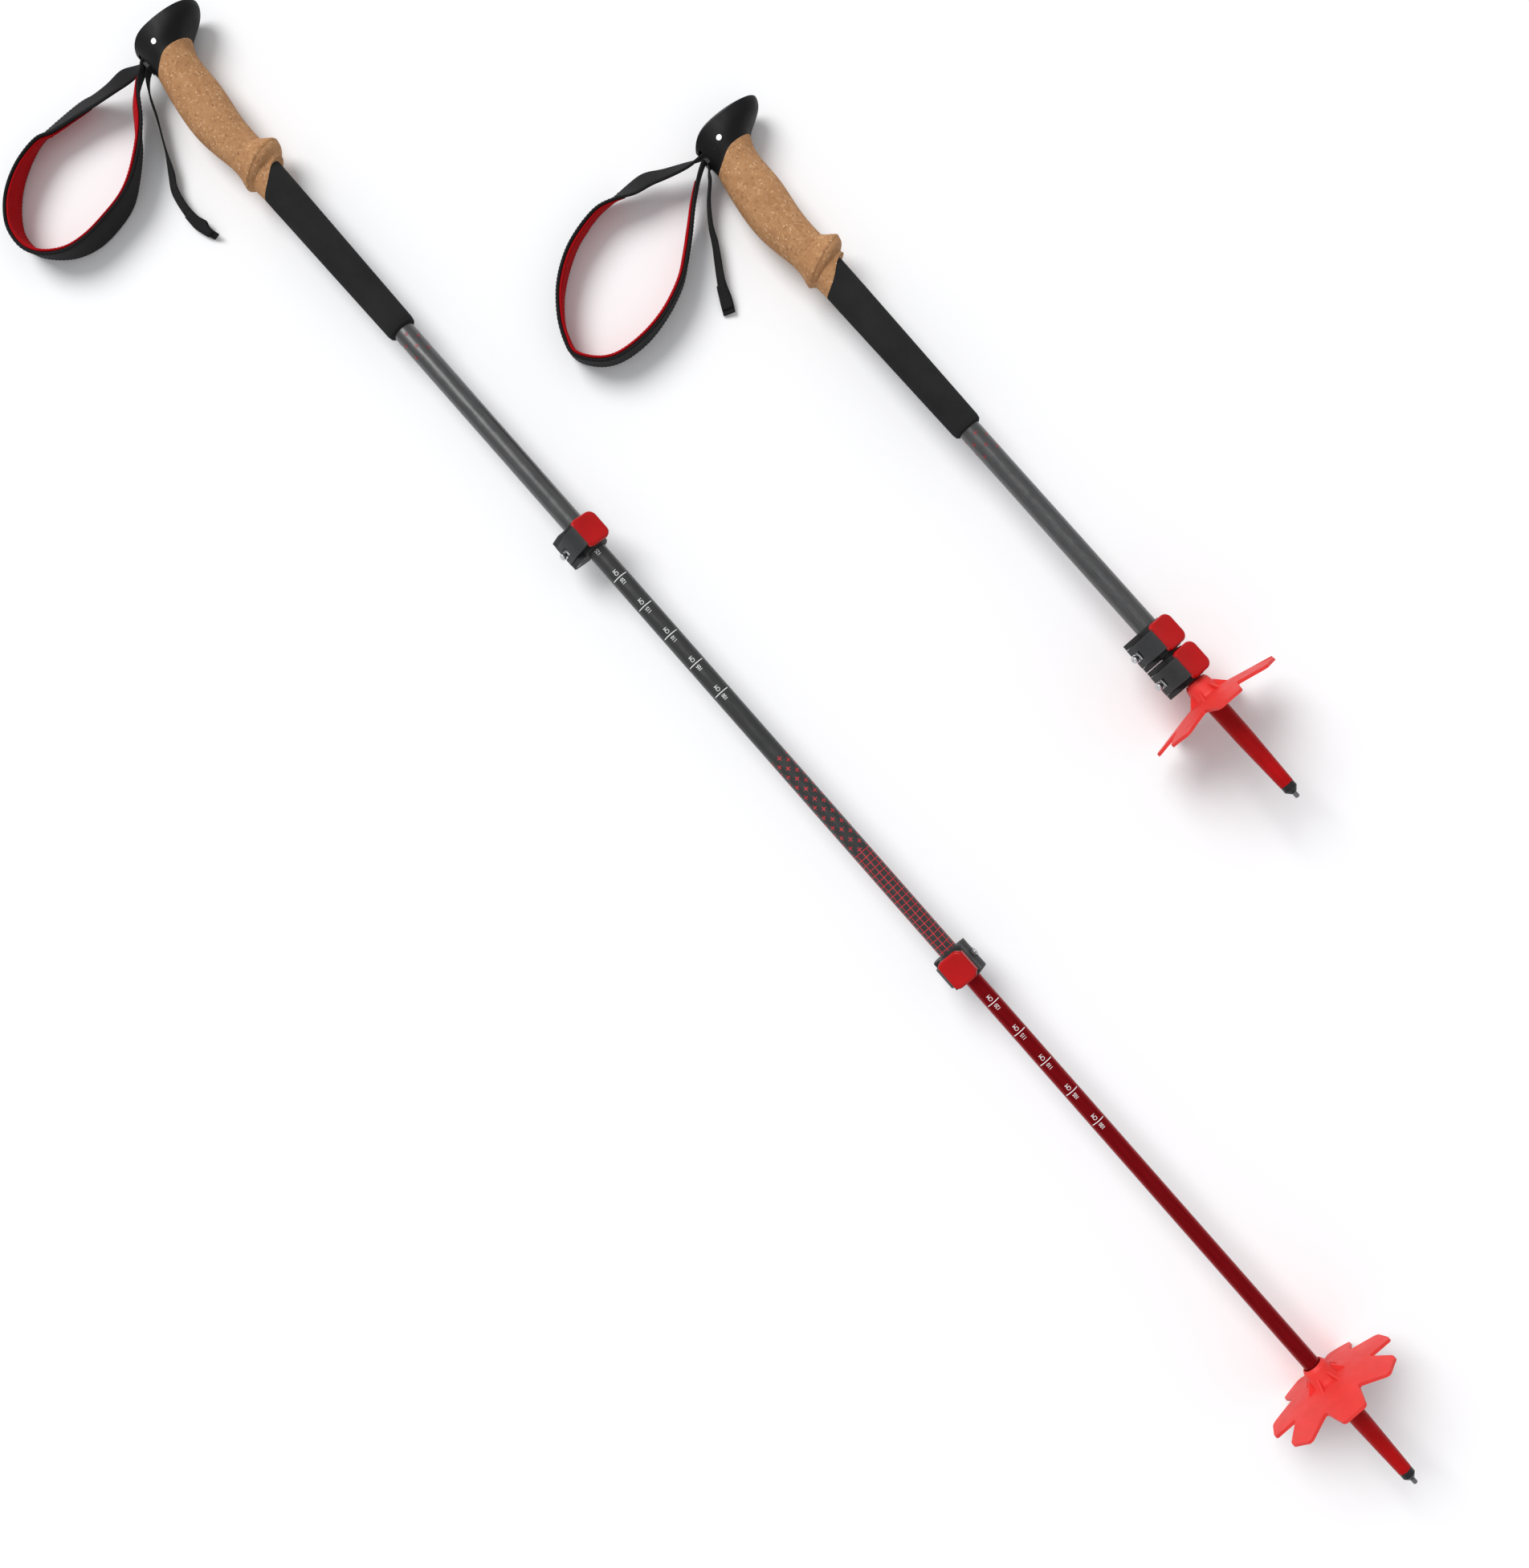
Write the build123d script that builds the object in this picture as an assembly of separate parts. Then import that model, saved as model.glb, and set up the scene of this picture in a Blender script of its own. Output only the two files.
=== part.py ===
from build123d import *
import math
import os

# A pair of three-section trekking poles lying side by side: the left one drawn out, the right one pushed in.
# Each pole is drawn in its own frame first: X runs from the crown of the grip to the tip, Y towards the beak of
# the grip head, Z up. lay() then lays that pole on the floor. Millimetres and degrees.

# ---------------------------------------------------------------- lengths along the pole
LOCK_X = 448.5              # middle of the upper lock, from the crown
LOCK_PITCH = 23.0           # upper lock to lower lock, pole pushed in
LOWER_REACH = 109.5         # lower lock to tip, pole pushed in
MIDDLE_OUT = 346.0          # how far the left pole's middle section is drawn out
LOWER_OUT = 323.0           # how far its lower section is drawn out
SETTINGS = {"left": (MIDDLE_OUT, LOWER_OUT), "right": (0.0, 0.0)}

# ---------------------------------------------------------------- shafts
UPPER_OD, UPPER_ID = 15.0, 13.6
MIDDLE_OD, MIDDLE_ID = 13.0, 11.8
LOWER_OD, LOWER_ID = 11.2, 9.8
UPPER_TOP = 24.0            # upper shaft's end inside the grip
MIDDLE_TOP = 36.0           # middle shaft's end, pole pushed in
LOWER_TOP = 52.0            # lower shaft's end, pole pushed in
LOWER_END = 80.0            # lower shaft's other end, back from the tip
SHAFT_PAST_LOCK = 3.0       # a shaft ends this far past the middle of its lock
RUNNING = 0.06              # radial clearance of a running fit

# ---------------------------------------------------------------- grip
CORE_OD = 18.0
CORE_FROM, CORE_TO = 22.5, 124.0
FOAM_END = 266.3
FOAM_TOP_OD, FOAM_LOW_OD = 23.4, 20.7
DOME_RADIUS = 28.5          # crown of the head, across the pole
HEAD_HALF_THICK = 17.4
PIN_X, PIN_Y, PIN_D = 17.0, 2.3, 3.6
SLOT = (11.5, 22.0, -16.0, 5.5, 13.5)     # strap slot: x from, x to, y from, y to, height

# Grip sections across the pole: x, y from, y to, half thickness in z
HEAD_SECTIONS = ((-3, -12.8, 41.0, 17.4), (7, -12.8, 41.0, 17.4), (13, -12.6, 38.2, 17.3),
                 (18, -12.3, 31.0, 16.6), (23, -11.9, 23.2, 15.5), (31, -11.7, 18.9, 14.6))
CORK_SECTIONS = ((20, -11.4, 24.0, 15.6), (31, -11.9, 18.6, 14.5), (46, -15.0, 16.6, 13.8),
                 (63, -17.6, 16.0, 14.3), (77, -18.4, 14.0, 14.2), (91, -17.2, 12.5, 13.4),
                 (106, -14.6, 12.6, 12.7), (124, -12.6, 12.4, 12.1), (144, -11.6, 11.6, 11.6))
CROWN = ((-15, 12.5), (-10, 6.0), (-2, 1.3), (9, 0.0), (20, 0.7), (30, 2.8), (37, 5.4), (43, 9.0))
HEAD_SEAM = ((21.0, 30.0), (25.2, 12.0), (26.2, 2.0), (29.6, -6.0), (30.0, -20.0))
FOAM_SEAM = ((124.5, 22.0), (126.0, 11.5), (129.8, 5.3), (133.6, 1.0), (137.0, -4.0), (140.0, -22.0))

# Flared ring of the cork: a ridge across the grip, leaning towards the beak
RING_X, RING_Y, RING_TURN = 118.2, 1.8, 19.4
RING_SECTIONS = ((-9.0, 13.0, 12.2), (-4.5, 14.9, 13.5), (0.5, 18.5, 16.1), (2.5, 18.5, 16.1),
                 (6.5, 15.4, 13.9), (15.0, 12.2, 11.8))

# ---------------------------------------------------------------- wrist strap
PAD_HEIGHT = 24.0
WEBBING_THICK = 1.7
LINER_THICK = 2.2
LINER_GAP = 0.3             # between the webbing and its padded liner
STRAP_CLEAR = 0.4           # strap above the floor
LINER_STARTS_Y = -34.0
BARE_HEIGHT, BARE_RISE = 12.0, 11.5
TAIL_THICK, TAIL_HEIGHT, TAIL_RISE = 1.5, 10.0, 12.0
LOOPS = {
    "left": ((12.6, -1.0), (12.4, -8.0), (11.6, -18), (7.0, -35), (3.2, -55), (1.5, -82), (4.5, -110),
             (16.0, -135), (34, -149.5), (52, -152.5), (68, -145), (78, -128), (79.5, -107), (73, -82),
             (56, -58), (33, -36), (19.2, -18), (16.9, -8.0), (16.6, -1.0)),
    "right": ((12.6, -1.0), (12.4, -8.0), (10.8, -18), (1.0, -36), (-6.0, -56), (-7.0, -84), (-2, -108),
              (12, -135), (32, -152), (54, -160), (70, -151), (78.5, -134), (78, -108), (67, -77),
              (52, -56), (32.5, -36), (19.2, -19), (16.9, -8.0), (16.6, -1.0)),
}
TAILS = {
    "left": ((21.3, -14.6), (27, -22), (43, -30.7), (60, -40), (76, -50), (92, -55.5), (110, -56), (129, -51)),
    "right": ((21.3, -14.6), (27, -20.5), (36, -28), (48, -36), (68, -47.5), (88, -58.6), (98, -64)),
}

# ---------------------------------------------------------------- locks, in the lock's own axes (along, v, w)
CLAMP_LENGTH = 22.4
CLAMP_WALL = 2.3
HINGE_V, HINGE_W = -11.6, -9.6
EAR_RADIUS = 4.0
CAM_WIDTH = 15.0
EAR_GAP = 15.6
HINGE_PIN_D = 4.8
SCREW_D = 2.8
SLIT = 1.4
CAP_LENGTH, CAP_WIDTH, CAP_THICK = 21.4, 20.4, 2.8
CAP_ROUND = 5.4
DISH_RADIUS, DISH_DEPTH = 90.0, 0.45
CAP_UNDER = 10.7            # underside of the lever cap above the pole's axis
LOCK_TURN = {("left", "upper"): -31.0, ("left", "lower"): 19.0,
             ("right", "upper"): -29.0, ("right", "lower"): -29.0}

# ---------------------------------------------------------------- basket and tip, measured back from the tip
BASKET_ROOT, BASKET_RIM = 86.0, 77.6
BASKET_RADIUS = 48.5
PETALS = 7
PETAL_STEP = 360 / PETALS
PETAL_HALF_ANGLE = 10.6
NOTCH_RADIUS = 31.0
PETAL_ROUND, NOTCH_ROUND = 4.0, 1.5
WEB_THICK = 1.6
DISC_THICK = 2.0
HUB_START = 97.5
HUB_BORE = 12.9
SLEEVE_START = 96.0
SLEEVE_END = 10.8
FERRULE_OD, FERRULE_NOSE, FERRULE_STEM_OD = 9.2, 6.8, 6.0
CARBIDE_D, CARBIDE_LENGTH = 3.2, 12.0

# ---------------------------------------------------------------- where the poles lie
RIGHT_SHIFT = (295.8, 234.3)
RIGHT_YAW = -0.41
HEAD_REST_X = 9.0           # the head rests on the floor here, the basket on two petals
BASKET_REST = 46.6          # height of the pole's axis over those petals' corners


def rod(start, end, diameter):
    """A round bar along the pole."""
    bar = Cylinder(diameter / 2, end - start, align=(Align.CENTER, Align.CENTER, Align.MIN))
    return Pos(start, 0, 0) * Rot(0, 90, 0) * bar


def tube(start, end, outer, inner):
    return rod(start, end, outer) - rod(start - 1, end + 1, inner)


def turned(profile):
    """A solid of revolution about the pole's axis, from (x, radius) points."""
    return revolve(make_face(Polyline(*profile, close=True)), Axis.X)


def box(x0, x1, y0, y1, z0, z1):
    return Pos((x0 + x1) / 2, (y0 + y1) / 2, (z0 + z1) / 2) * Box(x1 - x0, y1 - y0, z1 - z0)


def across(x, y_from, y_to, half_z):
    """An elliptical section across the pole."""
    plane = Plane(origin=(x, (y_from + y_to) / 2, 0), x_dir=(0, 1, 0), z_dir=(1, 0, 0))
    return plane * Ellipse((y_to - y_from) / 2, half_z)


def beyond(seam, reach):
    """Everything on the tip side of a seam drawn across the grip."""
    (x0, y0), (x1, y1) = seam[0], seam[-1]
    edge = make_face(Spline(*seam) + Polyline((x1, y1), (reach, y1), (reach, y0), (x0, y0)))
    return extrude(edge, 30, both=True)


# ---------------------------------------------------------------- grip
def head_blank():
    side = loft([across(*section) for section in HEAD_SECTIONS])
    crowns = []
    for y, crown in CROWN:
        plane = Plane(origin=(0, y, 0), x_dir=(1, 0, 0), z_dir=(0, -1, 0))
        half = 20.0
        rim = crown + DOME_RADIUS - math.sqrt(DOME_RADIUS ** 2 - half ** 2)
        arc = ThreePointArc((rim, -half), (crown, 0), (rim, half))
        crowns.append(plane * make_face(arc + Polyline((rim, half), (60, half), (60, -half), (rim, -half))))
    return side & loft(crowns)


def strap_slot():
    x0, x1, y0, y1, height = SLOT
    return box(x0, x1, y0, y1, -height / 2, height / 2)


def head_cap():
    head = head_blank() - beyond(HEAD_SEAM, 60)
    head -= strap_slot()
    head -= Pos(PIN_X, PIN_Y, 0) * Cylinder(PIN_D / 2, 60)
    return head - rod(CORE_FROM, 60, CORE_OD)


def strap_pin():
    pin = Pos(PIN_X, PIN_Y, 0) * Cylinder(PIN_D / 2, 60)
    return pin & head_blank()


def strap_wedge():
    """Plastic wedge that jams the webbing in the slot."""
    x0, x1, y0, y1, height = SLOT
    wedge = Polyline((x1 - 0.2, -12.6), (x1 - 0.2, -1.5), (x1 - 2.2, -1.5), (x1 - 4.2, -12.6), close=True)
    return extrude(make_face(wedge), height / 2 - 0.4, both=True)


def grip_core():
    return tube(CORE_FROM, CORE_TO, CORE_OD, UPPER_OD)


def cork_grip():
    body = loft([across(*section) for section in CORK_SECTIONS])
    frame = Plane(origin=(RING_X, RING_Y, 0), x_dir=(-math.sin(math.radians(RING_TURN)),
                                                     math.cos(math.radians(RING_TURN)), 0),
                  z_dir=(math.cos(math.radians(RING_TURN)), math.sin(math.radians(RING_TURN)), 0))
    ring = loft([frame.offset(along) * Ellipse(wide, thick) for along, wide, thick in RING_SECTIONS])
    cork = (body + ring) & beyond(HEAD_SEAM, 200)
    cork -= beyond(FOAM_SEAM, 200)
    cork -= rod(0, CORE_TO, CORE_OD)
    return cork - rod(0, 200, UPPER_OD)


def foam_extension():
    top, low = FOAM_TOP_OD / 2, FOAM_LOW_OD / 2
    sleeve = turned(((110, UPPER_OD / 2), (110, top + 0.2), (150, top), (FOAM_END - 4, low),
                     (FOAM_END - 1.2, low - 0.5), (FOAM_END, low - 1.8), (FOAM_END, UPPER_OD / 2)))
    return (sleeve & beyond(FOAM_SEAM, 300)) - rod(0, CORE_TO, CORE_OD)


# ---------------------------------------------------------------- strap, drawn on the floor under the grip
def sideways(points, distance):
    """Moves a row of points to the left of the way it runs."""
    moved = []
    for index, (x, y) in enumerate(points):
        before, after = points[max(index - 1, 0)], points[min(index + 1, len(points) - 1)]
        run = math.hypot(after[0] - before[0], after[1] - before[1])
        moved.append((x - (after[1] - before[1]) / run * distance, y + (after[0] - before[0]) / run * distance))
    return moved


def ribbon(points, near, far):
    """The strip between two lines that run beside a row of points."""
    first, second = sideways(points, near), sideways(points, far)
    return make_face(Spline(*first) + Line(first[-1], second[-1]) + Spline(*second) + Line(second[0], first[0]))


def between(y_from, y_to):
    return Pos(40, (y_from + y_to) / 2) * Rectangle(400, y_to - y_from)


def strap_webbing(side):
    band = ribbon(LOOPS[side], 0, WEBBING_THICK)
    padded = extrude(band & between(-200, LINER_STARTS_Y), PAD_HEIGHT)
    bare = extrude(band & between(LINER_STARTS_Y, 10), BARE_HEIGHT)
    return Pos(0, 0, STRAP_CLEAR) * padded + Pos(0, 0, STRAP_CLEAR + BARE_RISE) * bare


def strap_liner(side):
    outside = WEBBING_THICK + LINER_GAP
    padded = [point for point in LOOPS[side] if point[1] <= LINER_STARTS_Y - 1]
    band = ribbon(padded, outside, outside + LINER_THICK)
    return Pos(0, 0, STRAP_CLEAR) * extrude(band, PAD_HEIGHT)


def strap_tail(side):
    band = ribbon(TAILS[side], -TAIL_THICK / 2, TAIL_THICK / 2)
    return Pos(0, 0, STRAP_CLEAR + TAIL_RISE) * extrude(band, TAIL_HEIGHT)


# ---------------------------------------------------------------- locks
def lock_section(outline, half_length):
    """Extrudes an outline drawn across the lock, evenly both ways along the pole."""
    plane = Plane(origin=(0, 0, 0), x_dir=(0, 1, 0), z_dir=(1, 0, 0))
    return extrude(plane * outline, half_length, both=True)


def clamp(outer, inner):
    """Split collar: it grips the outer shaft's end and closes on the inner shaft."""
    half = CLAMP_LENGTH / 2
    ring = outer / 2 + CLAMP_WALL
    body = rod(-half, half, 2 * ring)
    body = chamfer(body.edges().filter_by(GeomType.CIRCLE), 0.8)
    foot = make_face(Polyline((HINGE_V + 4.6, -5.5), (HINGE_V + 4.6, -13.4), (8.8, -13.4), (9.2, -9.0),
                              (ring - 0.6, -2.0), close=True))
    body += lock_section(foot, half)
    ear = Pos(HINGE_V, HINGE_W) * Circle(EAR_RADIUS)
    ear += make_face(Polyline((HINGE_V - EAR_RADIUS, HINGE_W), (HINGE_V - 2.4, HINGE_W + 8.5), (-5.0, 3.0),
                              (-4.0, HINGE_W - EAR_RADIUS), (HINGE_V, HINGE_W - EAR_RADIUS), close=True))
    body += lock_section(ear, half) - lock_section(Pos(-15, -8) * Rectangle(16.0, 26), EAR_GAP / 2)
    body -= rod(-half - 1, SHAFT_PAST_LOCK, outer)
    body -= rod(0, half + 1, inner + 2 * RUNNING)
    body -= lock_section(Pos(0, -10) * Rectangle(SLIT, 18), half + 1)
    body -= Pos(0, HINGE_V, HINGE_W) * Rot(0, 90, 0) * Cylinder(HINGE_PIN_D / 2, 60)
    body -= Pos(0, 0, HINGE_W) * Rot(90, 0, 0) * Cylinder(SCREW_D / 2, 60)
    return body - nut_blank()


def nut_blank():
    across_flats = 5.5
    hexagon = RegularPolygon(across_flats / 2, 6, major_radius=False)
    plane = Plane(origin=(0, 6.4, HINGE_W), x_dir=(1, 0, 0), z_dir=(0, 1, 0))
    return extrude(plane * hexagon, 4.0)


def nut():
    return nut_blank() - Pos(0, 0, HINGE_W) * Rot(90, 0, 0) * Cylinder(SCREW_D / 2, 60)


def tension_screw():
    """Runs across under the shaft, through the hinge pin, to the nut."""
    start, end = HINGE_V - 6.0, 11.0
    shank = Cylinder(SCREW_D / 2, end - start, align=(Align.CENTER, Align.CENTER, Align.MIN))
    head = Cylinder(2.5, 2.2, align=(Align.CENTER, Align.CENTER, Align.MIN))
    head = chamfer(head.edges().filter_by(GeomType.CIRCLE), 0.4)
    return Pos(0, start, HINGE_W) * Rot(-90, 0, 0) * (shank + head)


def hinge_pin():
    pin = Pos(0, HINGE_V, HINGE_W) * Rot(0, 90, 0) * Cylinder(HINGE_PIN_D / 2, CLAMP_LENGTH - 0.6)
    return pin - Pos(0, 0, HINGE_W) * Rot(90, 0, 0) * Cylinder(SCREW_D / 2, 60)


def lever_cam():
    """Arm of the lever with its cam eye, round the hinge pin."""
    eye = Pos(HINGE_V, HINGE_W) * Circle(EAR_RADIUS + 0.2)
    outer = Spline((HINGE_V - EAR_RADIUS - 0.2, HINGE_W), (-14.6, 0.5), (-11.9, 8.2), (-8.6, CAP_UNDER + 1.2))
    arm = make_face(outer + Polyline((-8.6, CAP_UNDER + 1.2), (-3.5, CAP_UNDER + 1.2), (-3.5, CAP_UNDER - 0.3))
                    + ThreePointArc((-3.5, CAP_UNDER - 0.3), (-9.9, 3.9), (-10.6, -2.0))
                    + Polyline((-10.6, -2.0), (HINGE_V + EAR_RADIUS + 0.1, HINGE_W + 0.5),
                               (HINGE_V - EAR_RADIUS - 0.2, HINGE_W)))
    body = lock_section(eye + arm, CAM_WIDTH / 2)
    body = body - Pos(0, HINGE_V, HINGE_W) * Rot(0, 90, 0) * Cylinder(HINGE_PIN_D / 2 + RUNNING, 60)
    groove = Pos(0, HINGE_V, HINGE_W) * Rot(0, 90, 0) * Cylinder(7.4, 5.6)
    return body - groove - lever_cap()


def lever_cap():
    """Rounded square finger plate of the lever, slightly dished."""
    plate = Pos(0, 0, CAP_UNDER) * extrude(RectangleRounded(CAP_LENGTH, CAP_WIDTH, CAP_ROUND), CAP_THICK)
    plate = fillet(plate.faces().sort_by(Axis.Z)[-1].edges(), 1.7)
    dish = Pos(0, 0, CAP_UNDER + CAP_THICK + DISH_RADIUS - DISH_DEPTH) * Sphere(DISH_RADIUS)
    lip = box(-CAP_LENGTH / 2 + 3, CAP_LENGTH / 2 - 3, 7.6, 10.2, CAP_UNDER - 1.6, CAP_UNDER + 1)
    seat = box(-CAP_LENGTH, CAP_LENGTH, -12, -CAP_WIDTH / 2 + 1.6, CAP_UNDER - 1, CAP_UNDER + 5)
    return plate + lip - dish - seat


# ---------------------------------------------------------------- shafts and tip
def bushing(top, outer_bore, shaft_bore, inner):
    """Guide plugged into a shaft's end, with a collar that runs in the next shaft's bore."""
    return tube(top - 5, top, outer_bore - 2 * RUNNING, inner) + tube(top, top + 7, shaft_bore, inner)


def petal_outline():
    """The basket's rim seen along the pole: seven petals with a notch after each."""
    points = []
    for petal in range(PETALS):
        middle = 90 + petal * PETAL_STEP
        for radius, angle in ((BASKET_RADIUS, middle - PETAL_HALF_ANGLE),
                              (BASKET_RADIUS, middle + PETAL_HALF_ANGLE),
                              (NOTCH_RADIUS, middle + PETAL_STEP / 2)):
            points.append((radius * math.cos(math.radians(angle)), radius * math.sin(math.radians(angle))))
    star = make_face(Polyline(*points, close=True))
    star = fillet(corners(star, BASKET_RADIUS), PETAL_ROUND)
    return fillet(corners(star, NOTCH_RADIUS), NOTCH_ROUND)


def corners(outline, radius):
    return [corner for corner in outline.vertices() if abs(Vector(*corner).length - radius) < 0.1]


def basket(tip):
    """Dished petals, webbed to a hub that is threaded onto the tip sleeve."""
    root, rim = tip - BASKET_ROOT, tip - BASKET_RIM
    hub_top = tip - HUB_START
    bore, flange = HUB_BORE / 2, 10.0
    outer = BASKET_RADIUS + 2
    edge = root + (rim - root) * (outer - flange) / (BASKET_RADIUS - flange)
    dish = turned(((root, bore), (root, flange), (edge, outer), (edge + DISC_THICK, outer),
                   (root + DISC_THICK + 0.6, flange), (root + DISC_THICK + 4.0, 8.2),
                   (root + DISC_THICK + 4.0, bore)))
    across_pole = Plane(origin=(root - 5, 0, 0), x_dir=(0, 1, 0), z_dir=(1, 0, 0))
    hub = turned(((hub_top, bore), (hub_top, 7.0), (hub_top + 2.2, 8.3), (root - 2.2, 9.6),
                  (root + 0.5, 10.4), (root + 1, bore)))
    body = (dish & extrude(across_pole * petal_outline(), 40)) + hub
    web = make_face(Polyline((root - 5.5, 9.2), (root + 2.2, 16.5), (root + 3.0, 9.2), close=True))
    for petal in range(PETALS):
        body += Rot(90 + (petal + 0.5) * PETAL_STEP, 0, 0) * extrude(web, WEB_THICK / 2, both=True)
    return body - rod(hub_top - 1, root + 30, HUB_BORE)


def tip_sleeve(tip):
    """Plastic sleeve over the lower shaft's end, with the ferrule's stem in its nose."""
    bore, stem = LOWER_OD / 2, FERRULE_STEM_OD / 2
    return turned(((tip - SLEEVE_START, bore), (tip - SLEEVE_START, 6.35), (tip - 76, 6.38), (tip - 51, 6.1),
                   (tip - SLEEVE_END, 4.75), (tip - SLEEVE_END, stem), (tip - LOWER_END, stem),
                   (tip - LOWER_END, bore)))


def tip_ferrule(tip):
    stem, outer, carbide = FERRULE_STEM_OD / 2, FERRULE_OD / 2, CARBIDE_D / 2
    return turned(((tip - 22, 0.0), (tip - 22, stem), (tip - SLEEVE_END, stem), (tip - SLEEVE_END, outer),
                   (tip - FERRULE_NOSE, outer), (tip - 3.9, 2.0), (tip - 3.9, carbide),
                   (tip - CARBIDE_LENGTH, carbide), (tip - CARBIDE_LENGTH, 0.0)))


def carbide_tip(tip):
    """Hard point with a hollowed end, so it bites on rock."""
    start, radius = tip - CARBIDE_LENGTH, CARBIDE_D / 2
    return turned(((start, 0.0), (start, radius), (tip - 0.6, radius), (tip, 1.0), (tip - 0.3, 0.0)))


# ---------------------------------------------------------------- one pole in its own frame
def stations(side):
    """Places along one pole that follow from how far it is drawn out."""
    middle, lower = SETTINGS[side]
    lower_lock = LOCK_X + LOCK_PITCH + middle
    return {"lower_lock": lower_lock, "tip": lower_lock + LOWER_REACH + lower,
            "middle_top": MIDDLE_TOP + middle, "lower_top": LOWER_TOP + middle + lower}


def pole(side):
    at = stations(side)
    tip = at["tip"]
    parts = {
        "head_cap": head_cap(), "strap_pin": strap_pin(), "strap_wedge": strap_wedge(),
        "grip_core": grip_core(), "cork_grip": cork_grip(), "foam_extension": foam_extension(),
        "upper_shaft": tube(UPPER_TOP, LOCK_X + SHAFT_PAST_LOCK, UPPER_OD, UPPER_ID),
        "middle_shaft": tube(at["middle_top"], at["lower_lock"] + SHAFT_PAST_LOCK, MIDDLE_OD, MIDDLE_ID),
        "middle_bushing": bushing(at["middle_top"], UPPER_ID, MIDDLE_ID, 9.0),
        "lower_shaft": tube(at["lower_top"], tip - LOWER_END, LOWER_OD, LOWER_ID),
        "lower_bushing": bushing(at["lower_top"], MIDDLE_ID, LOWER_ID, 7.0),
        "tip_sleeve": tip_sleeve(tip), "tip_ferrule": tip_ferrule(tip), "carbide_tip": carbide_tip(tip),
        "basket": basket(tip),
    }
    for name, x, outer, inner in (("upper", LOCK_X, UPPER_OD, MIDDLE_OD),
                                  ("lower", at["lower_lock"], MIDDLE_OD, LOWER_OD)):
        pieces = {"clamp": clamp(outer, inner), "lever": lever_cap(), "cam": lever_cam(),
                  "hinge_pin": hinge_pin(), "screw": tension_screw(), "nut": nut()}
        for piece, shape in pieces.items():
            parts[f"{name}_lock_{piece}"] = Pos(x, 0, 0) * Rot(LOCK_TURN[side, name], 0, 0) * shape
    return parts


# ---------------------------------------------------------------- laying the poles down
def tilt(side):
    """The tip end lies higher than the head, because the basket is wider."""
    rest = stations(side)["tip"] - BASKET_RIM
    return math.degrees(math.atan2(BASKET_REST - HEAD_HALF_THICK, rest - HEAD_REST_X))


def base(side):
    """Where a pole's floor frame sits: the left pole is the datum until the pair is centred."""
    if side == "left":
        return Location((0, 0, 0))
    return Location((*RIGHT_SHIFT, 0), (0, 0, RIGHT_YAW))


def lay(side):
    angle = math.radians(tilt(side))
    lift = HEAD_HALF_THICK * math.cos(angle) - HEAD_REST_X * math.sin(angle)
    return base(side) * Location((0, 0, lift), (0, -tilt(side), 0))


def build():
    solids = {}
    for side in SETTINGS:
        for name, shape in pole(side).items():
            solids[f"{side}_{name}"] = lay(side) * shape
        for name, maker in (("strap_webbing", strap_webbing), ("strap_liner", strap_liner),
                            ("strap_tail", strap_tail)):
            solids[f"{side}_{name}"] = base(side) * maker(side)
    return solids


def centre_shift(solids):
    """Brings the middle of the pair's box over the origin and its underside to the floor."""
    boxes = [shape.bounding_box() for shape in solids.values()]
    low = [min(getattr(b.min, axis) for b in boxes) for axis in "XYZ"]
    high = [max(getattr(b.max, axis) for b in boxes) for axis in "XYZ"]
    return Pos(-(low[0] + high[0]) / 2, -(low[1] + high[1]) / 2, -low[2])


def main():
    os.makedirs("parts", exist_ok=True)
    solids = build()
    shift = centre_shift(solids)
    for name, shape in solids.items():
        export_step(shift * shape, f"parts/{name}.step")


if __name__ == "__main__":
    main()
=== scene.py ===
import bmesh
import bpy
import math
from mathutils import Matrix, Vector


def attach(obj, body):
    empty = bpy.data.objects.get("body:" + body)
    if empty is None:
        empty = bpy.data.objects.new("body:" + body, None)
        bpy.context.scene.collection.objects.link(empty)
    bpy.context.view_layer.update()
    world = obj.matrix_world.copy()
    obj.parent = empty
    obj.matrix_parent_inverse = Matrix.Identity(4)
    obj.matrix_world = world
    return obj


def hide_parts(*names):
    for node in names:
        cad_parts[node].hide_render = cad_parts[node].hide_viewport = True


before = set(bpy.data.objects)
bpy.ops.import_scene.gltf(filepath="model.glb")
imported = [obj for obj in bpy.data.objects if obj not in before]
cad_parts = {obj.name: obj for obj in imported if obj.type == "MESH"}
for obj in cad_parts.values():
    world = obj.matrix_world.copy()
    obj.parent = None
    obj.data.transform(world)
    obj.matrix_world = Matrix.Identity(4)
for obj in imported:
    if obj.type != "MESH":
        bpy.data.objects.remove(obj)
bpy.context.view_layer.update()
MM = 0.001

# ------------------------------------------------------------------ where each pole lies, as in the CAD
SIDES = ("left", "right")
SHIFT = Vector((-624.8113, -62.9108, 0.1550)) * MM     # the left pole's crown, seen from the part's origin
TIP = {"left": 1250.0, "right": 581.0}                 # crown to tip
RIGHT_AT, RIGHT_TURN = Vector((295.8, 234.3, 0.0)) * MM, math.radians(-0.41)
RIGHT_BASE = Matrix.Translation(RIGHT_AT) @ Matrix.Rotation(RIGHT_TURN, 4, "Z")
HEAD_HALF, HEAD_REST = 17.4, 9.0                       # half the head's thickness, and where it meets the floor
BASKET_REST, RIM_BACK = 46.6, 77.6                     # the basket's reach down, and its rim, back from the tip


def base(side):
    """The pole's frame on the floor, in row metres."""
    place = Matrix.Translation(SHIFT)
    return place @ RIGHT_BASE if side == "right" else place


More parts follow.
